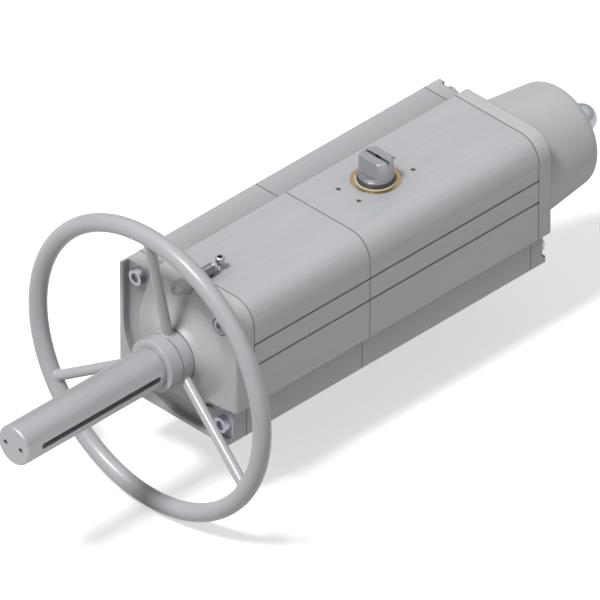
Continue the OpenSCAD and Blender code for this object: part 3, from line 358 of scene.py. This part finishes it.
def mesh_piece(name, verts, faces, slot, body, smooth):
    """A smooth mesh with creases where its faces turn by more than smooth degrees, riding on a body."""
    data = bpy.data.meshes.new(name)
    data.from_pydata([tuple(v) for v in verts], [], faces)
    bm = bmesh.new()
    bm.from_mesh(data)
    bmesh.ops.recalc_face_normals(bm, faces=bm.faces)
    bm.to_mesh(data)
    bm.free()
    obj = bpy.data.objects.new(name, data)
    scene.collection.objects.link(obj)
    for p in data.polygons:
        p.use_smooth = True
    data.set_sharp_from_angle(angle=math.radians(smooth))
    dress(obj, MATERIALS[slot])
    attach(obj, body)
    return obj


def weld_bead(name, origin, axis, radius, throat, ripples, surface_at):
    """A rippled fillet weld around a rod.

    surface_at says how far along the axis the other part's surface lies."""
    axis = Vector(axis).normalized()
    u = axis.orthogonal().normalized()
    w = axis.cross(u)
    n, verts, faces = ripples * 6, [], []
    # (out from the rod, along the axis) in throats
    section = [(-0.35, -0.6), (-0.35, 1.0), (0.05, 0.95), (0.40, 0.66), (0.72, 0.34), (1.0, 0.0), (1.0, -0.6)]
    for i in range(n):
        a = 2 * math.pi * i / n
        out = u * math.cos(a) + w * math.sin(a)
        size = throat * (1 + 0.10 * math.cos(ripples * a) + 0.06 * math.sin(3 * a))
        for r, h in section:
            side = out * (radius + size * r)
            verts.append(Vector(origin) + side + axis * (size * h + surface_at(side)))
    k = len(section)
    for i in range(n):
        for j in range(k):
            a, b = i * k + j, i * k + (j + 1) % k
            c, d = ((i + 1) % n) * k + (j + 1) % k, ((i + 1) % n) * k + j
            faces.append((a, b, c, d))
    return mesh_piece(name, verts, faces, "wheel_paint", "handwheel", 50.0)


def lathe(name, rings, start, axis, slot, body, replaced, n=72, smooth=35.0):
    """A solid turned about an axis.

    Each ring is (height, radius), and a radius may be a function of the angle."""
    axis = Vector(axis).normalized()
    u = Vector((0, 0, 1)) if abs(axis.z) < 0.5 else Vector((1, 0, 0))
    w = axis.cross(u)
    verts, faces = [Vector(start) + axis * rings[0][0]], []
    for height, radius in rings:
        for i in range(n):
            a = 2 * math.pi * i / n
            r = radius(a) if callable(radius) else radius
            verts.append(Vector(start) + axis * height + (u * math.cos(a) + w * math.sin(a)) * r)
    verts.append(Vector(start) + axis * rings[-1][0])
    for i in range(n):
        faces.append((0, 1 + (i + 1) % n, 1 + i))
        last = 1 + (len(rings) - 1) * n
        faces.append((len(verts) - 1, last + i, last + (i + 1) % n))
    for k in range(len(rings) - 1):
        for i in range(n):
            a, b = 1 + k * n + i, 1 + k * n + (i + 1) % n
            faces.append((a, b, b + n, a + n))
    obj = mesh_piece(name, verts, faces, slot, body, smooth)
    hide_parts(replaced)
    return obj


def helix_rings(z0, z1, radius, depth, pitch, rows=8, shape=None):
    """Rings of a screw thread between two heights, fading out at both ends.

    rows is the number of rings a turn, and shape can cut into each radius."""
    rings = []
    count = max(2, round((z1 - z0) / pitch * rows))
    for k in range(count + 1):
        z = z0 + (z1 - z0) * k / count
        fade = min(1.0, (z - z0) / pitch, (z1 - z) / pitch)

        def at(a, z=z, fade=fade):
            t = (z / pitch - a / (2 * math.pi)) % 1.0
            # a trapezoid: flat root, flat crest, straight flanks
            valley = max(0.0, min(1.0, 1.25 - abs(2 * t - 1) * 1.5))
            r = radius - depth * fade * valley
            return min(r, shape(a, z)) if shape else r
        rings.append((z, at))
    return rings


def hexagon(across):
    """Radius of a hexagon with that width across its flats, at each angle."""
    return lambda a: across / 2 / math.cos((a % (math.pi / 3)) - math.pi / 6)


def stud():
    """Threaded stud on top of the front cap, with a hexagon socket in its free end."""
    low, high = box_m("adjuster_stud")
    r, length = (high.z - low.z) / 2, high.x - low.x
    y, z = (low.y + high.y) / 2, (low.z + high.z) / 2
    plain, chamfer, tip = 0.016, 0.0008, 0.0012
    socket, socket_depth = hexagon(0.006), 0.004
    rings = [(0.0, r - chamfer), (chamfer, r), (plain, r)]
    rings += helix_rings(plain + 0.0001, length - tip, r, 0.0011, 0.00175)
    rings += [(length, r - tip), (length, socket), (length - socket_depth, socket),
              (length - socket_depth, CENTRE)]
    piece = lathe("stud_with_thread", rings, (low.x, y, z), (1, 0, 0), "zinc_steel", "housing",
                  "adjuster_stud")
    dress(piece, surface("zinc_steel_stud", (0.46, 0.48, 0.50), 0.40, 0.9, "plain", 0.06, 0.04, edge=0.0002,
                         thread=("YZ", (y, z), r - 0.0010, r - 0.0002)))


def lock_screw():
    """Cap screw that locks the stud: a thread below, a knurled head with a hexagon socket above."""
    low, high = box_m("locking_screw")
    x, y = (low.x + high.x) / 2, (low.y + high.y) / 2
    head_r, height = (high.x - low.x) / 2, high.z - low.z
    r, head_h = head_r - 0.002, 0.0064
    chamfer, knurls, knurl_depth, socket_depth = 0.0006, 24, 0.00018, 0.0035
    neck = height - head_h
    thread = neck - 0.0092

    def knurl(a):
        return head_r - knurl_depth * (0.5 + 0.5 * math.cos(knurls * a))
    rings = [(0.0, r - chamfer), (chamfer, r), (thread, r)]
    rings += helix_rings(thread + 0.0001, neck - chamfer, r, 0.00062, 0.001)
    rings += [(neck, r), (neck, head_r - 0.0005), (neck + 0.0005, knurl), (height - 0.0009, knurl),
              (height - 0.0003, head_r - 0.0006), (height, head_r - 0.0011), (height, hexagon(0.0052)),
              (height - 0.0005, hexagon(0.005)), (height - socket_depth, hexagon(0.005)),
              (height - socket_depth, CENTRE)]
    piece = lathe("lock_screw_with_thread", rings, (x, y, low.z), (0, 0, 1), "zinc_steel", "housing",
                  "locking_screw", n=144)
    dress(piece, surface("zinc_steel_screw", (0.50, 0.52, 0.55), 0.40, 0.9, "plain", 0.06, 0.04, edge=0.0002,
                         thread=("XY", (x, y), r - 0.00058, r - 0.0001)))


def threaded_spindle():
    """The spindle with its trapezoid thread and the keyway along its top."""
    low, high = box_m("spindle")
    r, length = (high.z - low.z) / 2, high.x - low.x
    ring_low, ring_high = box_m("position_ring")
    ring_w = ring_high.x - ring_low.x
    key_w, key_floor, key_start = 0.0068, r - 0.0032, ring_w + 0.020
    bore_r, bore_depth, plain = 0.0062, 0.010, 0.0115

    def keyway(a, z=1.0):
        if z < key_start or math.cos(a) <= 0 or abs(math.tan(a)) * key_floor > key_w / 2:
            return r
        return key_floor / math.cos(a)
    rings = [(0.0, r - 0.002), (ring_w, r - 0.002), (ring_w, r - 0.0006), (ring_w + 0.0006, r)]
    rings += helix_rings(ring_w + 0.001, length - plain - 0.0005, r, 0.0022, 0.005, 6, keyway)
    rings += [(length - plain, keyway), (length - 0.001, keyway),
              (length, lambda a: min(r - 0.001, keyway(a))), (length, bore_r), (length - bore_depth, bore_r),
              (length - bore_depth, CENTRE)]
    lathe("spindle_with_thread", rings, (low.x, 0, AXIS_Z), (1, 0, 0), "machined_steel", "spindle", "spindle",
          n=180)


def welds():
    """Weld seams where the three spokes meet the hub and the rim."""
    low, high = box_m("wheel_hub")
    hub_x, hub_r = (low.x + high.x) / 2, (high.z - low.z) / 2
    low, high = box_m("wheel_rim")
    rim_x, tube = (low.x + high.x) / 2, (high.x - low.x) / 2
    ring_r = (high.z - low.z) / 2 - tube
    spoke_r = 0.00575
    tilt = math.atan2(hub_x - rim_x, ring_r - hub_r)
    for i in range(3):
        turn = Matrix.Rotation(math.radians(120 * i), 4, "X")
        back = turn.inverted()
        middle = Vector((hub_x - 0.0015, 0, AXIS_Z))
        foot = middle + turn @ Vector((0, 0, hub_r))
        along = (turn @ Vector((-math.sin(tilt), 0, math.cos(tilt)))).normalized()
        reach = math.hypot(hub_x - rim_x, ring_r - hub_r)
        top = foot + along * reach

        def on_hub(side):
            flat = back @ side
            return (math.sqrt(max(0.0, hub_r ** 2 - flat.y ** 2)) - hub_r - flat.z) / math.cos(tilt)

        def on_rim(side):
            near, far = 0.0, 2 * tube
            for _ in range(30):
                t = (near + far) / 2
                p = top + side - along * t - Vector((rim_x, 0, AXIS_Z))
                inside = math.hypot(math.hypot(p.y, p.z) - ring_r, p.x) < tube
                near, far = (t, far) if inside else (near, t)
            return near
        weld_bead(f"hub_weld_{i + 1}", foot, along, spoke_r, 0.0017, 18, on_hub)
        weld_bead(f"rim_weld_{i + 1}", top, -along, spoke_r, 0.0017, 18, on_rim)


def coil_spring():
    """The main spring with closed, ground ends. The real spring shortens as the rack unit moves towards the
    can; this one is built at one length.
    """
    low, high = box_m("main_spring")
    wire, stroke = 0.00525, 0.0472
    coil_r = (high.z - low.z) / 2 - wire
    turns, per_turn, around = 7.5, 56, 20
    first, last = low.x + wire * 0.5, high.x - wire * 0.5
    rows = []
    for k in range(int(turns * per_turn) + 1):
        t = k / per_turn
        if t < 1:
            x = first + 2.02 * wire * t
        elif t > turns - 1:
            x = last - 2.02 * wire * (turns - t)
        else:
            x = first + 2.02 * wire + (last - first - 4.04 * wire) * (t - 1) / (turns - 2)
        a = 2 * math.pi * t
        out = Vector((0, math.sin(a), math.cos(a)))
        row = []
        for i in range(around):
            b = 2 * math.pi * i / around
            p = Vector((x + wire * math.sin(b), 0, AXIS_Z)) + out * (coil_r + wire * math.cos(b))
            p.x = min(max(p.x, low.x + 0.0001), high.x - 0.0001)
            row.append(p)
        rows.append(row)
    verts = [p for row in rows for p in row]
    faces = []
    for k in range(len(rows) - 1):
        for i in range(around):
            a, b = k * around + i, k * around + (i + 1) % around
            faces.append((a, b, b + around, a + around))
    faces.append(tuple(range(around)))
    faces.append(tuple(range(len(verts) - around, len(verts))))
    spring = mesh_piece("spring_coil", verts, faces, "spring_steel", "housing", 50.0)
    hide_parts("main_spring")
    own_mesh(spring)


stud()
lock_screw()
threaded_spindle()
welds()
coil_spring()

# Stage and light


def make_floor():
    """Pale paper under the object. The camera and mirroring metal see it white, and it keeps the shadow."""
    gap, size = 0.0015, 60.0
    bpy.ops.mesh.primitive_plane_add(size=size, location=(0, 0, CAD_BOUNDS[0][2] - gap))
    floor = bpy.context.object
    floor.name = "floor"
    m, nt, bsdf = new_material("floor_paper")
    coords = node(nt, "ShaderNodeTexCoord").outputs["Object"]
    grain = noise(nt, coords, (240.0, 240.0, 240.0), 3.0)
    paper = mix_colour(nt, spread(nt, grain, 0.0, 1.0), (0.90, 0.90, 0.90), (0.92, 0.92, 0.92))
    paths = node(nt, "ShaderNodeLightPath")
    # the paper throws little light back up, so the object's lower sides keep their shade
    nt.links.new(mix_colour(nt, paths.outputs["Is Diffuse Ray"], paper, (0.30, 0.30, 0.30)),
                 bsdf.inputs["Base Color"])
    bsdf.inputs["Roughness"].default_value = 0.9
    bsdf.inputs["Specular IOR Level"].default_value = 0.1
    bsdf.inputs["Emission Color"].default_value = (1, 1, 1, 1)
    seen = math_node(nt, "MULTIPLY", paths.outputs["Is Camera Ray"], 0.52)
    mirrored = math_node(nt, "MAXIMUM", paths.outputs["Is Glossy Ray"], paths.outputs["Is Transmission Ray"])
    nt.links.new(math_node(nt, "ADD", seen, math_node(nt, "MULTIPLY", mirrored, 0.12)),
                 bsdf.inputs["Emission Strength"])
    floor.data.materials.append(m)


def make_world():
    """White to the camera, a dim even sky as light, and a brighter overhead for what metal mirrors."""
    world = bpy.data.worlds.new("studio")
    scene.world = world
    world.use_nodes = True
    nt = world.node_tree
    nt.nodes.clear()
    out = node(nt, "ShaderNodeOutputWorld")
    back = node(nt, "ShaderNodeBackground", Color=(1, 1, 1, 1))
    paths = node(nt, "ShaderNodeLightPath")
    glossy = paths.outputs["Is Glossy Ray"]
    seen = math_node(nt, "MAXIMUM", paths.outputs["Is Camera Ray"], paths.outputs["Is Transmission Ray"])
    place = node(nt, "ShaderNodeSeparateXYZ")
    nt.links.new(node(nt, "ShaderNodeTexCoord").outputs["Generated"], place.inputs[0])
    mirrored = math_node(nt, "MULTIPLY", glossy, spread(nt, place.outputs["Z"], 0.22, 1.0, -0.05, 0.85))
    neither = math_node(nt, "SUBTRACT", 1.0, math_node(nt, "MAXIMUM", seen, glossy))
    sky = math_node(nt, "MULTIPLY", neither, 0.28)
    nt.links.new(math_node(nt, "ADD", math_node(nt, "ADD", seen, mirrored), sky), back.inputs["Strength"])
    nt.links.new(back.outputs[0], out.inputs[0])


def sun(name, direction, strength, angle):
    data = bpy.data.lights.new(name, "SUN")
    data.energy = strength
    data.angle = math.radians(angle)
    lamp = bpy.data.objects.new(name, data)
    lamp.rotation_euler = Vector(direction).to_track_quat("-Z", "Y").to_euler()
    scene.collection.objects.link(lamp)


make_floor()
make_world()
sun("key", (0.58, 0.0, -1.0), 2.5, 14.0)
sun("fill", (0.35, 0.90, -0.25), 0.05, 40.0)

scene.view_settings.view_transform = "Standard"
bpy.context.view_layer.update()
